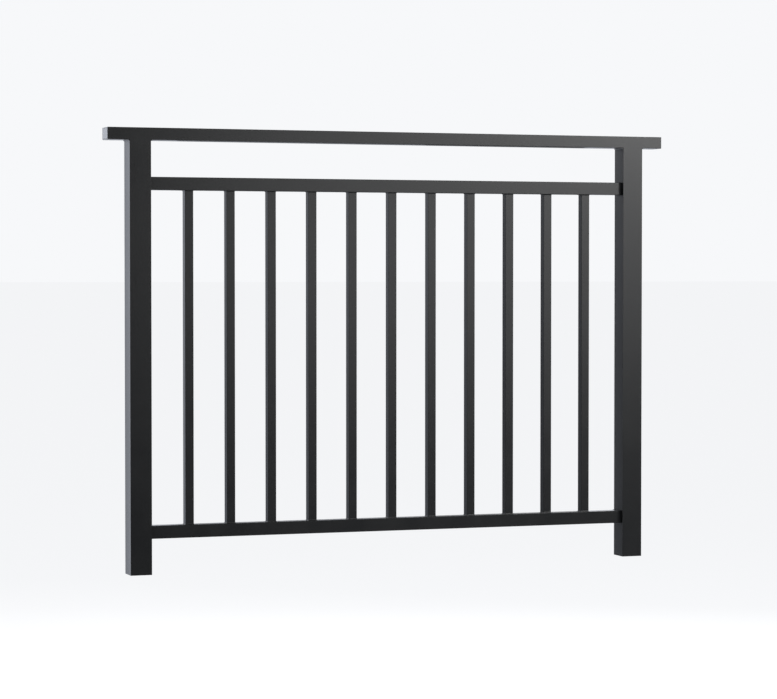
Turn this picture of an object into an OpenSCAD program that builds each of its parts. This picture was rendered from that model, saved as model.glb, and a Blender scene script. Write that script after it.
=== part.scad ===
// Juliet balcony: a flat balustrade of welded box tubes that stands off the wall in front of
// a French window.
// X runs along the balustrade, Y runs into the wall and Z runs up. The wall is the plane
// Y = 0, and the origin is the centre of the wall face of the left post's lower stand-off.

/* [Posts] */
// Distance between the centre lines of the two posts
post_spacing = 1225; // [1100:5:1250]
// Height of a post, from its foot to the underside of the handrail
post_height = 989; // [950:1:1200]
// Outside width and depth of the square post tube
post_size = 50; // [40:1:60]
// Wall of the post tube
post_wall = 3; // [2:0.5:4]

/* [Handrail] */
// Height of the handrail tube, which is as deep as the posts
handrail_height = 28; // [20:1:50]
// Wall of the handrail tube
handrail_wall = 2; // [1.5:0.5:3]
// Length that the handrail runs past the outer face of each post
handrail_overhang = 51; // [10:1:120]

/* [Rails] */
// Height of the upper and the lower rail tube
rail_height = 30; // [25:1:40]
// Depth of the rail tubes, from front to back
rail_depth = 25; // [22:1:30]
// Wall of the rail tubes
rail_wall = 2; // [1.5:0.5:3]
// Height of the underside of the lower rail above the foot of the posts
lower_rail_height = 81; // [50:1:120]
// Height of the underside of the upper rail above the foot of the posts
upper_rail_height = 876; // [800:1:880]
// Length of a rail's end inside the post
rail_entry = 12; // [6:1:20]

/* [Balusters] */
// Number of balusters
baluster_count = 11; // [6:1:11]
// Outside width and depth of the square baluster tube
baluster_size = 20; // [16:1:22]
// Wall of the baluster tube
baluster_wall = 1.5; // [1:0.5:2]
// Distance between the centre lines of two neighbouring balusters
baluster_pitch = 98.9; // [80:0.1:99.5]

/* [Closing plates] */
// Thickness of the plates that close the handrail's ends and the posts' feet
plate_thickness = 3; // [2:0.5:6]

/* [Wall fixings] */
// Length of a stand-off, which is the gap between the posts and the wall
standoff_length = 50; // [40:1:80]
// Diameter of a stand-off
standoff_diameter = 22; // [20:1:30]
// Diameter of the hole that takes the M10 wall stud
stud_hole_diameter = 10.5; // [10:0.1:11]
// Depth of the stud hole
stud_hole_depth = 38; // [25:1:39]
// Distance of the grub screw from the wall
grub_screw_distance = 12; // [8:1:20]
// Diameter of the grub screw
grub_screw_diameter = 6; // [4:1:6]
// Distance of the grub screw's outer end below the stand-off's surface
grub_screw_recess = 0.5; // [0.2:0.1:1]
// Width across the flats of the grub screw's hexagon socket
socket_width = 3; // [2:0.5:3]
// Depth of the hexagon socket
socket_depth = 2.5; // [1:0.5:3]

/* [Hidden] */
$fn = 64;
// A cut runs this far past the faces that it opens
over = 1;

handrail_length = post_spacing + post_size + 2 * handrail_overhang;
rail_length = post_spacing - post_size + 2 * (post_wall + rail_entry);
baluster_length = upper_rail_height - lower_rail_height - rail_height;
// The row of balusters is centred between the posts
first_baluster = (post_spacing - (baluster_count - 1) * baluster_pitch) / 2;
post_hollow = post_size - 2 * post_wall;

// Places from front to back: the rails and balusters stand in the middle of the posts' depth
post_front = -standoff_length - post_size;
rail_middle = post_front + post_size / 2;
rail_front = rail_middle - rail_depth / 2;

// Heights: each stand-off lies behind the middle of a rail
foot_z = -lower_rail_height - rail_height / 2;
post_top_z = foot_z + post_height;
lower_rail_z = foot_z + lower_rail_height;
upper_rail_z = foot_z + upper_rail_height;
fixing_spacing = upper_rail_height - lower_rail_height;

// Radial length of the grub screw, from the stud hole's wall outwards
grub_screw_length = (standoff_diameter - stud_hole_diameter) / 2 - grub_screw_recess;

finish = "#2b2c2d";
bare_metal = "#8d9093";

function baluster_name(i) = str("baluster_", i < 10 ? "0" : "", i);

// A square or oblong section with a hollow middle, its corner at the origin
module box_section(width, depth, wall) {
    difference() {
        square([width, depth]);
        translate([wall, wall]) square([width - 2 * wall, depth - 2 * wall]);
    }
}

// An upright tube, its lower front left corner at the origin
module upright_tube(size, wall, length) {
    linear_extrude(length) box_section(size, size, wall);
}

// A level tube along X, its lower front left corner at the origin
module level_tube(length, depth, height, wall) {
    translate([length, 0, 0]) rotate([0, -90, 0])
        linear_extrude(length) box_section(height, depth, wall);
}

// Cut through the post's inner wall that a rail enters, as wide as the post's hollow
module rail_slot(z) {
    translate([post_size / 2 - post_wall - over, post_front + post_wall, z])
        cube([post_wall + 2 * over, post_hollow, rail_height]);
}

module left_post() {
    color(finish) difference() {
        translate([-post_size / 2, post_front, foot_z])
            upright_tube(post_size, post_wall, post_height);
        rail_slot(lower_rail_z);
        rail_slot(upper_rail_z);
    }
}

// Plate welded into the foot of a post, flush with its end
module foot_plate() {
    color(finish) translate([-post_hollow / 2, post_front + post_wall, foot_z])
        cube([post_hollow, post_hollow, plate_thickness]);
}

module handrail() {
    color(finish)
        translate([-post_size / 2 - handrail_overhang, post_front, post_top_z])
        level_tube(handrail_length, post_size, handrail_height, handrail_wall);
}

// Plate welded into the left end of the handrail, flush with it
module handrail_end_plate() {
    color(finish)
        translate([
            -post_size / 2 - handrail_overhang,
            post_front + handrail_wall,
            post_top_z + handrail_wall
        ])
        cube([
            plate_thickness,
            post_size - 2 * handrail_wall,
            handrail_height - 2 * handrail_wall
        ]);
}

module rail(z) {
    color(finish)
        translate([post_size / 2 - post_wall - rail_entry, rail_front, z])
        level_tube(rail_length, rail_depth, rail_height, rail_wall);
}

module baluster(i) {
    color(finish)
        translate([
            first_baluster + (i - 1) * baluster_pitch - baluster_size / 2,
            rail_middle - baluster_size / 2,
            lower_rail_z + rail_height
        ])
        upright_tube(baluster_size, baluster_wall, baluster_length);
}

// Round stand-off between post and wall, with its blind stud hole and the grub screw's hole
module standoff() {
    color(finish) difference() {
        rotate([90, 0, 0]) cylinder(d = standoff_diameter, h = standoff_length);
        translate([0, over, 0]) rotate([90, 0, 0])
            cylinder(d = stud_hole_diameter, h = stud_hole_depth + over);
        translate([0, -grub_screw_distance, -standoff_diameter / 2 - over])
            cylinder(d = grub_screw_diameter, h = standoff_diameter / 2 + over);
    }
}

// Grub screw under the stand-off, its inner end level with the stud hole's wall
module grub_screw() {
    color(bare_metal)
        translate([0, -grub_screw_distance, -stud_hole_diameter / 2 - grub_screw_length])
        difference() {
            cylinder(d = grub_screw_diameter, h = grub_screw_length);
            translate([0, 0, -over])
                cylinder(d = socket_width / cos(30), h = socket_depth + over, $fn = 6);
        }
}

// Puts what belongs to the left side on the right side, as its mirror image
module on_right() {
    translate([post_spacing, 0, 0]) mirror([1, 0, 0]) children();
}

module on_upper() {
    translate([0, 0, fixing_spacing]) children();
}

left_post();  // post_left
on_right() left_post();  // post_right
foot_plate();  // post_foot_left
on_right() foot_plate();  // post_foot_right
handrail();
handrail_end_plate();  // handrail_end_left
on_right() handrail_end_plate();  // handrail_end_right
rail(upper_rail_z);  // upper_rail
rail(lower_rail_z);  // lower_rail
for (i = [1:baluster_count])
    baluster(i);
standoff();  // standoff_left_lower
on_upper() standoff();  // standoff_left_upper
on_right() standoff();  // standoff_right_lower
on_right() on_upper() standoff();  // standoff_right_upper
grub_screw();  // grub_screw_left_lower
on_upper() grub_screw();  // grub_screw_left_upper
on_right() grub_screw();  // grub_screw_right_lower
on_right() on_upper() grub_screw();  // grub_screw_right_upper
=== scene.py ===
"""Juliet balcony: a balustrade of welded aluminium box tube, powder-coated dark anthracite.

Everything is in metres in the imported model's frame: X along the balustrade, Y into the wall,
Z up, with the wall at Y = 0.
"""
import math

import bmesh
import bpy
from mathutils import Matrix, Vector


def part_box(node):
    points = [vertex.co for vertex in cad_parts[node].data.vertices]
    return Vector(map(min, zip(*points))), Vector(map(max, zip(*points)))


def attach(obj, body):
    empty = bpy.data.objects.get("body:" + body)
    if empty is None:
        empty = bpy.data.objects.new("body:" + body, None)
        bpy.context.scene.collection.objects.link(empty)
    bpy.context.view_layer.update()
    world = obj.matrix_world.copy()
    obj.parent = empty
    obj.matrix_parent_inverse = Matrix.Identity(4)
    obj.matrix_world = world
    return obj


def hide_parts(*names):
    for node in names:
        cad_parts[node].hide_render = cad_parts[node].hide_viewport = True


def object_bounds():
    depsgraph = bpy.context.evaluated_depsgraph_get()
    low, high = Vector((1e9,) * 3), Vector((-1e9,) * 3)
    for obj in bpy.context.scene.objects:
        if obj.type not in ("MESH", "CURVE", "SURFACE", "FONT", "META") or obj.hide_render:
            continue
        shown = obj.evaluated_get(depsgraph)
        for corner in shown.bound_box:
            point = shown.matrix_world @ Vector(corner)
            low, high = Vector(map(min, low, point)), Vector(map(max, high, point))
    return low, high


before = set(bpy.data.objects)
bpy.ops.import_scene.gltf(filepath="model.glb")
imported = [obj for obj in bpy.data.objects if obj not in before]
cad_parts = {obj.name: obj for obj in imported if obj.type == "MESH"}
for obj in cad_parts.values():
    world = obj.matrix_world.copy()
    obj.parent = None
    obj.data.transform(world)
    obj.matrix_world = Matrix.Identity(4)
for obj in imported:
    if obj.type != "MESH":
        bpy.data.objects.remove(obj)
cad_low, cad_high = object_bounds()

# --- Camera ---------------------------------------------------------------------------
# A long lens about six metres in front and well to the left, a little above mid-height, so
# the left sides of the tubes and the top of the lower rail show.
camera_place = (-1.5379, -6.0201, 0.5905)
camera_tilt = math.radians(1.623)
camera_turn = math.radians(19.83)
camera_lens = 124.47

bpy.ops.object.camera_add(
    location=camera_place, rotation=(math.radians(90) - camera_tilt, 0, -camera_turn))
scene = bpy.context.scene
scene.camera = bpy.context.object
scene.camera.data.lens = camera_lens

# --- Studio ---------------------------------------------------------------------------
# A pale floor well below the hanging balcony, so wide that its edge is the horizon, and a
# pale surround. Only the soft lights show as reflections, so the dark coat keeps its contrast.
middle = (cad_low + cad_high) / 2
floor_drop = 1.0
floor_size = 1000
floor_colour = "#fbfbfb"
surround_colour = "#f7f8fa"
scene.view_settings.view_transform = "Standard"

bpy.ops.object.select_all(action="DESELECT")
bpy.ops.mesh.primitive_plane_add(size=floor_size, location=(0, 0, cad_low.z - floor_drop))
floor = bpy.context.object
floor.name = "studio_floor"
floor.visible_glossy = False


def linear(hex_colour):
    """An sRGB hex colour as linear RGBA."""
    values = [int(hex_colour[i:i + 2], 16) / 255 for i in (1, 3, 5)]
    return [v / 12.92 if v < 0.04045 else ((v + 0.055) / 1.055) ** 2.4 for v in values] + [1]


def new_material(name):
    """An empty material and its node tree."""
    made = bpy.data.materials.new(name)
    made.use_nodes = True
    made.node_tree.nodes.clear()
    return made, made.node_tree


def add_node(tree, kind, settings=(), inputs=()):
    """One node with its settings, and its inputs as values or as links from other sockets."""
    made = tree.nodes.new(kind)
    for name, value in dict(settings).items():
        setattr(made, name, value)
    for name, value in dict(inputs).items():
        if isinstance(value, bpy.types.NodeSocket):
            tree.links.new(value, made.inputs[name])
        else:
            made.inputs[name].default_value = value
    return made


# A dull paper floor: it spreads the light and has no gloss that could draw a horizon line.
paper, tree = new_material("pale_floor")
shader = add_node(tree, "ShaderNodeBsdfPrincipled", inputs={
    "Base Color": linear(floor_colour), "Roughness": 0.9, "Specular IOR Level": 0.0})
add_node(tree, "ShaderNodeOutputMaterial", inputs={"Surface": shader.outputs["BSDF"]})
floor.data.materials.append(paper)

world = bpy.data.worlds.new("studio_surround")
scene.world = world
world.use_nodes = True
world.cycles_visibility.glossy = False
surround = world.node_tree.nodes["Background"]
surround.inputs["Color"].default_value = linear(surround_colour)
surround.inputs["Strength"].default_value = 1.0


def add_softbox(name, place, aim, width, height, power, colour="#ffffff"):
    """A rectangular soft light at a place, facing a point, hidden from the camera."""
    bpy.ops.object.light_add(type="AREA", location=place)
    light = bpy.context.object
    light.name = name
    light.data.shape = "RECTANGLE"
    light.data.size = width
    light.data.size_y = height
    light.data.energy = power
    light.data.color = linear(colour)[:3]
    light.rotation_euler = (Vector(aim) - Vector(place)).to_track_quat("-Z", "Y").to_euler()
    light.visible_camera = False


# The key and its broad fill stand close by on the right, so the fronts grow lighter upwards and
# to the right. Each has a place, the point it faces, a width, a height and its watts.
add_softbox("key_right", (2.8, -2.7, 1.8), (2.3, 0.0, 0.6), 0.9, 0.9, 47)
add_softbox("fill_right", (1.9, -2.7, 0.95), (1.4, 0.0, 0.6), 2.0, 1.4, 13)

# Weaker lights all round, for the sides, the back and the top of the lower rail. The degrees
# are round from the front, towards the right, and up.
for name, azimuth, elevation, distance, width, height, power in (
    ("side_right", 80, 20, 6, 2.0, 2.0, 28),
    ("side_left", -80, 20, 6, 2.0, 2.0, 15),
    ("rear_right", 140, 25, 6, 2.5, 2.0, 50),
    ("rear_left", -150, 20, 6, 2.5, 2.0, 25),
    ("rear_low", 161, 6, 7, 3.0, 1.2, 6),
):
    turn, lift = math.radians(azimuth), math.radians(elevation)
    direction = Vector((math.sin(turn) * math.cos(lift), -math.cos(turn) * math.cos(lift),
                        math.sin(lift)))
    add_softbox(name, middle + distance * direction, middle, width, height, power)

# Cool panels just behind the wall plane are what the left sides of the tubes mirror: bright
# beside the opening, most of all past the handrail's end, and dim across it. Each has its left
# and right edge and its watts.
panel_depth = 0.06
panel_bottom, panel_top = -0.7, 1.4
panel_colour = "#eef3ff"
for name, left, right, power in (
    ("panel_far_left", -1.2, -0.09, 16.5),
    ("panel_left", -0.09, 0.13, 1.2),
    ("panel_opening", 0.13, 0.75, 1.6),
    ("panel_opening_dim", 0.75, 1.17, 0.5),
    ("panel_right", 1.17, 2.42, 8.6),
):
    place = Vector(((left + right) / 2, panel_depth, (panel_bottom + panel_top) / 2))
    add_softbox(name, place, place - Vector((0, 1, 0)), right - left,
                panel_top - panel_bottom, power, panel_colour)

# A high cool light behind, for the tops, and light coming back up from the floor, for the
# undersides.
add_softbox("rear_high", (middle.x, 5.0, 2.2), middle, 6.0, 4.0, 11.5, panel_colour)
bounce_height = 0.1 * floor_drop
add_softbox("floor_bounce", (middle.x, middle.y, cad_low.z - floor_drop + bounce_height), middle,
            3.0, 2.0, 8)

# --- Posts ----------------------------------------------------------------------------
# Square aluminium tubes, extruded with slightly rounded corners. Each has a slot sawn in its
# inner wall at both rail heights, wider than the rail that goes in. All tubes and plates are
# powder-coated after welding: a satin polyester coat, fine-textured like orange peel.
millimetre = 0.001
post_wall = 3 * millimetre
corner_radius = 1.0 * millimetre
rail_nodes = ("lower_rail", "upper_rail")

coat_dark, coat_light = "#151618", "#191a1b"
coat_cloud_size = 70 * millimetre
coat_gloss_range = 0.29, 0.34
coat_peel_size = 1.5 * millimetre
coat_peel_height = 0.045 * millimetre
coat_grain_size = 0.35 * millimetre
coat_grain_height = 0.02 * millimetre
# A colour mix node takes its two colours at sockets 6 and 7 and gives the result at 2.
mix_first, mix_second, mix_result = 6, 7, 2

# Powder coat on aluminium: nearly black and satin, so it shows soft, bright reflections at a
# flat angle and stays dark when seen straight on.
coat, tree = new_material("anthracite_powder_coat")
place = add_node(tree, "ShaderNodeTexCoord").outputs["Object"]
# Baked powder never lies quite evenly: broad, faint clouds in its colour and its gloss.
clouds = add_node(tree, "ShaderNodeTexNoise", inputs={
    "Vector": place, "Scale": 1 / coat_cloud_size, "Detail": 3})
tint = add_node(tree, "ShaderNodeMix", {"data_type": "RGBA"}, {
    "Factor": clouds.outputs["Fac"], mix_first: linear(coat_dark),
    mix_second: linear(coat_light)})
gloss = add_node(tree, "ShaderNodeMapRange", inputs={
    "Value": clouds.outputs["Fac"], "From Min": 0.3, "From Max": 0.7,
    "To Min": coat_gloss_range[0], "To Max": coat_gloss_range[1]})
# The molten powder's orange peel, with the finer grain of the powder itself on top, drawn a
# few times coarser than it is, so that it shows.
peel = add_node(tree, "ShaderNodeTexNoise", inputs={
    "Vector": place, "Scale": 1 / coat_peel_size, "Detail": 1})
peel_bump = add_node(tree, "ShaderNodeBump", inputs={
    "Height": peel.outputs["Fac"], "Distance": coat_peel_height})
grain = add_node(tree, "ShaderNodeTexNoise", inputs={
    "Vector": place, "Scale": 1 / coat_grain_size, "Detail": 1})
grain_bump = add_node(tree, "ShaderNodeBump", inputs={
    "Height": grain.outputs["Fac"], "Distance": coat_grain_height,
    "Normal": peel_bump.outputs["Normal"]})
shader = add_node(tree, "ShaderNodeBsdfPrincipled", inputs={
    "Base Color": tint.outputs[mix_result], "Roughness": gloss.outputs["Result"], "IOR": 1.5,
    "Normal": grain_bump.outputs["Normal"]})
add_node(tree, "ShaderNodeOutputMaterial", inputs={"Surface": shader.outputs["BSDF"]})


def select_only(piece, *others):
    """Selects these pieces and nothing else, and makes the first one active."""
    bpy.ops.object.select_all(action="DESELECT")
    for each in (piece, *others):
        each.select_set(True)
    bpy.context.view_layer.objects.active = piece


def add_block(name, low, high):
    """A box between two corners, with its place in its mesh."""
    bpy.ops.object.select_all(action="DESELECT")
    bpy.ops.mesh.primitive_cube_add(size=1, location=(low + high) / 2, scale=high - low)
    block = bpy.context.object
    block.name = name
    bpy.ops.object.transform_apply()
    return block


def pick_faces(piece, wanted):
    """In edit mode, selects only the faces whose middle and normal pass the test."""
    bpy.ops.mesh.select_mode(type="FACE")
    bpy.ops.mesh.select_all(action="DESELECT")
    mesh = bmesh.from_edit_mesh(piece.data)
    for face in mesh.faces:
        if wanted(face.calc_center_median(), face.normal):
            face.select_set(True)
    bmesh.update_edit_mesh(piece.data)


def pick_edges(piece, wanted):
    """In edit mode, selects only the edges of which both ends pass the test."""
    bpy.ops.mesh.select_mode(type="EDGE")
    bpy.ops.mesh.select_all(action="DESELECT")
    mesh = bmesh.from_edit_mesh(piece.data)
    for edge in mesh.edges:
        if all(wanted(corner.co) for corner in edge.verts):
            edge.select_set(True)
    bmesh.update_edit_mesh(piece.data)


def is_near(value, target, margin=0.1 * millimetre):
    """Whether a length is the same as another, apart from a small margin."""
    return abs(value - target) < margin


def apply_modifier(piece, kind, **settings):
    """Adds a modifier with its settings and applies it."""
    added = piece.modifiers.new(kind.lower(), kind)
    for name, value in settings.items():
        setattr(added, name, value)
    select_only(piece)
    bpy.ops.object.modifier_apply(modifier=added.name)


def hollow_out(piece, axis, wall):
    """Opens the two ends of a box along an axis and gives what is left a wall."""
    bpy.ops.object.mode_set(mode="EDIT")
    pick_faces(piece, lambda place, normal: abs(normal[axis]) > 0.9)
    bpy.ops.mesh.delete(type="FACE")
    bpy.ops.object.mode_set(mode="OBJECT")
    apply_modifier(piece, "SOLIDIFY", thickness=wall, offset=-1, use_even_offset=True)


def round_edges(piece, radius):
    """Rounds the sharp edges, keeping the flat faces flat in shading."""
    apply_modifier(piece, "BEVEL", width=radius, segments=3, limit_method="ANGLE",
                   harden_normals=True)


def drill(piece, cutter):
    """Cuts one closed shape out of another and throws the cutter away."""
    apply_modifier(piece, "BOOLEAN", operation="DIFFERENCE", solver="EXACT", object=cutter)
    bpy.data.objects.remove(cutter)


def finish(piece, material, node):
    """Gives a piece its finish, and lets it stand for its CAD node on the one body."""
    piece.data.materials.append(material)
    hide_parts(node)
    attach(piece, "root")


# Spare length at a post's top, which the square cut takes off.
post_spare = 5 * millimetre
post_weld_leg = 2.5 * millimetre
# The share of a weld bead's width that is cut back, and how hollow the cut is.
bead_cut, bead_profile = 0.9, 0.3
for node in ("post_left", "post_right"):
    low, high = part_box(node)
    post = add_block("tube_" + node, low, high + Vector((0, 0, post_spare)))
    hollow_out(post, 2, post_wall)
    for rail_node in rail_nodes:
        rail_low, rail_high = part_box(rail_node)
        slot_low = Vector((rail_low.x, low.y + post_wall, rail_low.z))
        slot_high = Vector((rail_high.x, high.y - post_wall, rail_high.z))
        drill(post, add_block("slot", slot_low, slot_high))
    round_edges(post, corner_radius)
    # The top is cut square, just high enough to fill the handrail's rounded edge: the weld
    # there is dressed flush at the front and back, and no seam shows through the coat.
    bpy.ops.object.mode_set(mode="EDIT")
    bpy.ops.mesh.select_all(action="SELECT")
    bpy.ops.mesh.bisect(plane_co=(0, 0, high.z + corner_radius), plane_no=(0, 0, 1),
                        clear_outer=True)
    bpy.ops.mesh.bridge_edge_loops()
    bpy.ops.object.mode_set(mode="OBJECT")
    # At the sides a weld bead fills the corner under the handrail: a bar whose free lower edge
    # is cut back to a hollow curve.
    beads = []
    for inward, side in ((1, low.x), (-1, high.x)):
        outer = side - inward * post_weld_leg
        bottom = high.z - post_weld_leg
        bead = add_block("weld", Vector((min(side, outer), low.y + corner_radius, bottom)),
                         Vector((max(side, outer), high.y - corner_radius, high.z)))
        bpy.ops.object.mode_set(mode="EDIT")
        pick_edges(bead, lambda corner: is_near(corner.x, outer) and is_near(corner.z, bottom))
        bpy.ops.mesh.bevel(offset=bead_cut * post_weld_leg, segments=4, profile=bead_profile)
        bpy.ops.object.mode_set(mode="OBJECT")
        beads.append(bead)
    select_only(post, *beads)
    bpy.ops.object.join()
    finish(post, coat, node)

# --- Handrail -------------------------------------------------------------------------
# A wider, flatter tube laid across the tops of the posts and welded on, its joints dressed
# flush at the front and back.
handrail_wall = 2 * millimetre
handrail = add_block("tube_handrail", *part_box("handrail"))
hollow_out(handrail, 0, handrail_wall)
round_edges(handrail, corner_radius)
finish(handrail, coat, "handrail")

# --- Closing plates -------------------------------------------------------------------
# Sheet aluminium, welded into the feet of the posts and the ends of the handrail and dressed
# flush. Their eased edges leave a fine groove along the seam.
plate_seam = 0.5 * millimetre
for node in ("post_foot_left", "post_foot_right", "handrail_end_left", "handrail_end_right"):
    plate = add_block("plate_" + node, *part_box(node))
    round_edges(plate, plate_seam)
    finish(plate, coat, node)

# --- Rails ----------------------------------------------------------------------------
# Two lighter tubes between the posts, in the middle of their depth. Their ends go through the
# slots into the posts and are welded along the slots' upper and lower edges.
rail_wall = 2 * millimetre
for node in rail_nodes:
    rail = add_block("tube_" + node, *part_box(node))
    hollow_out(rail, 0, rail_wall)
    round_edges(rail, corner_radius)
    finish(rail, coat, node)

# --- Balusters ------------------------------------------------------------------------
# Square tubes cut to the gap between the rails and welded all round at both ends. The small
# fillet of the weld, smoothed over by the coat, flares each end.
baluster_wall = 1.5 * millimetre
baluster_radius = 0.8 * millimetre
baluster_weld_leg = 1.6 * millimetre
baluster_nodes = sorted(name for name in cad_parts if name.startswith("baluster_"))


def flare_end(piece, axis, end, inward, leg, size):
    """In edit mode, widens a solid bar's end by a weld's leg, in a hollow curve."""
    normal = Vector()
    normal[axis] = 1
    # Rings one and two legs from the end stay as they are, and the flare begins there.
    for distance in (2 * leg, leg, 0.4 * leg):
        bpy.ops.mesh.select_all(action="SELECT")
        bpy.ops.mesh.bisect(plane_co=normal * (end + inward * distance), plane_no=normal)
    for distance, widening in ((0, leg), (0.4 * leg, 0.35 * leg)):
        level = end + inward * distance
        pick_edges(piece, lambda corner: is_near(corner[axis], level, 0.1 * leg))
        grow = Vector.Fill(3, 1 + 2 * widening / size)
        grow[axis] = 1
        mesh = bmesh.from_edit_mesh(piece.data)
        ring = [corner.co for corner in mesh.verts if corner.select]
        bpy.ops.transform.resize(value=grow, center_override=sum(ring, Vector()) / len(ring))


def copy_to(piece, name, offset):
    """A copy with its own mesh, moved there in the mesh."""
    select_only(piece)
    bpy.ops.object.duplicate()
    copied = bpy.context.object
    copied.name = name
    bpy.ops.transform.translate(value=offset)
    bpy.ops.object.transform_apply()
    return copied


low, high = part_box(baluster_nodes[0])
baluster = add_block("tube_" + baluster_nodes[0], low, high)
bpy.ops.object.mode_set(mode="EDIT")
flare_end(baluster, 2, low.z, 1, baluster_weld_leg, high.x - low.x)
flare_end(baluster, 2, high.z, -1, baluster_weld_leg, high.x - low.x)
bpy.ops.object.mode_set(mode="OBJECT")
hollow_out(baluster, 2, baluster_wall)
round_edges(baluster, baluster_radius)
balusters = [baluster] + [
    copy_to(baluster, "tube_" + node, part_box(node)[0] - low) for node in baluster_nodes[1:]]
for node, piece in zip(baluster_nodes, balusters):
    finish(piece, coat, node)

# --- Stand-offs -----------------------------------------------------------------------
# Turned aluminium bar, welded to the back of the post behind each rail. It is bored from the
# wall's end for the stud and cross-drilled underneath for the grub screw that holds it there.
stud_hole_radius = 5.25 * millimetre
stud_hole_depth = 38 * millimetre
grub_hole_radius = 3 * millimetre
turned_chamfer = 0.6 * millimetre
standoff_weld_leg = 2.5 * millimetre
round_steps = 64
smooth_below = math.radians(35)
standoff_nodes = sorted(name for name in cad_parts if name.startswith("standoff_"))
grub_nodes = [name.replace("standoff", "grub_screw") for name in standoff_nodes]


def add_round(name, centre, radius, length, axis, steps):
    """A closed round bar along Y (axis 1) or Z (axis 2), with its place in its mesh."""
    bpy.ops.object.select_all(action="DESELECT")
    bpy.ops.mesh.primitive_cylinder_add(
        vertices=steps, radius=radius, depth=length, location=centre,
        rotation=(math.radians(90) if axis == 1 else 0, 0, 0))
    made = bpy.context.object
    made.name = name
    bpy.ops.object.transform_apply()
    return made


def shade_turned(piece):
    """Smooth shading on the round faces, with the real corners kept sharp."""
    select_only(piece)
    bpy.ops.object.shade_smooth_by_angle(angle=smooth_below)


low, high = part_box(standoff_nodes[0])
centre = (low + high) / 2
radius = (high.x - low.x) / 2
standoff = add_round("turned_" + standoff_nodes[0], centre, radius, high.y - low.y, 1,
                     round_steps)
bpy.ops.object.mode_set(mode="EDIT")
pick_faces(standoff, lambda place, normal: normal.y > 0.9)
bpy.ops.mesh.inset(thickness=radius - stud_hole_radius)
bpy.ops.mesh.extrude_region_move(
    TRANSFORM_OT_translate={"value": (0, -stud_hole_depth, 0)})
flare_end(standoff, 1, low.y, 1, standoff_weld_leg, 2 * radius)
for rim in (radius, stud_hole_radius):
    pick_edges(standoff, lambda corner: is_near(corner.y, high.y) and is_near(
        math.hypot(corner.x - centre.x, corner.z - centre.z), rim))
    bpy.ops.mesh.bevel(offset=turned_chamfer, segments=2)
bpy.ops.object.mode_set(mode="OBJECT")
# The cross drill starts below the bar and stops inside the bore.
grub_low, grub_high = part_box(grub_nodes[0])
grub_centre = (grub_low + grub_high) / 2
cross_drill_middle = (grub_centre.x, grub_centre.y, low.z + 0.2 * radius)
drill(standoff, add_round("grub_hole", cross_drill_middle, grub_hole_radius, radius, 2,
                          round_steps // 2))
shade_turned(standoff)
standoffs = [standoff] + [
    copy_to(standoff, "turned_" + node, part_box(node)[0] - low) for node in standoff_nodes[1:]]
for node, piece in zip(standoff_nodes, standoffs):
    finish(piece, coat, node)

# --- Grub screws ----------------------------------------------------------------------
# Short stainless set screws with a hexagon socket, one under each stand-off, left bare. Turned
# ends give fine rings, and the socket is broached.
socket_flats = 3 * millimetre
socket_depth = 2.5 * millimetre
screw_chamfer = 0.5 * millimetre
steel_dark, steel_light = "#84878a", "#9b9ea1"
steel_gloss_range = 0.25, 0.45
turning_mark_pitch = 0.12 * millimetre
turning_mark_height = 0.004 * millimetre
turning_mark_stretch = (0.05, 0.05, 1.0)

# Turned stainless steel: a bare grey metal with a dull shine, streaked by the tool.
steel, tree = new_material("turned_stainless_steel")
place = add_node(tree, "ShaderNodeTexCoord").outputs["Object"]
# Tool marks: streaks drawn out along the level plane, so they run round the screw.
stretched = add_node(tree, "ShaderNodeMapping", inputs={
    "Vector": place, "Scale": turning_mark_stretch})
marks = add_node(tree, "ShaderNodeTexNoise", inputs={
    "Vector": stretched.outputs["Vector"], "Scale": 1 / turning_mark_pitch, "Detail": 2})
marks_bump = add_node(tree, "ShaderNodeBump", inputs={
    "Height": marks.outputs["Fac"], "Distance": turning_mark_height})
gloss = add_node(tree, "ShaderNodeMapRange", inputs={
    "Value": marks.outputs["Fac"], "To Min": steel_gloss_range[0],
    "To Max": steel_gloss_range[1]})
tint = add_node(tree, "ShaderNodeMix", {"data_type": "RGBA"}, {
    "Factor": marks.outputs["Fac"], mix_first: linear(steel_dark),
    mix_second: linear(steel_light)})
shader = add_node(tree, "ShaderNodeBsdfPrincipled", inputs={
    "Base Color": tint.outputs[mix_result], "Metallic": 1.0,
    "Roughness": gloss.outputs["Result"], "Normal": marks_bump.outputs["Normal"]})
add_node(tree, "ShaderNodeOutputMaterial", inputs={"Surface": shader.outputs["BSDF"]})

screw = add_round("set_screw_" + grub_nodes[0], grub_centre, (grub_high.x - grub_low.x) / 2,
                  grub_high.z - grub_low.z, 2, round_steps // 2)
bpy.ops.object.mode_set(mode="EDIT")
pick_edges(screw, lambda corner: is_near(corner.z, grub_low.z))
bpy.ops.mesh.bevel(offset=screw_chamfer, segments=1)
bpy.ops.object.mode_set(mode="OBJECT")
# The broach is centred on the screw's end, so half of its length goes in, and its six corners
# lie on a circle wider than its flats.
broach_middle = (grub_centre.x, grub_centre.y, grub_low.z)
broach_radius = socket_flats / 2 / math.cos(math.radians(30))
drill(screw, add_round("socket", broach_middle, broach_radius, 2 * socket_depth, 2, 6))
shade_turned(screw)
screws = [screw] + [
    copy_to(screw, "set_screw_" + node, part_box(node)[0] - grub_low) for node in grub_nodes[1:]]
for node, piece in zip(grub_nodes, screws):
    finish(piece, steel, node)
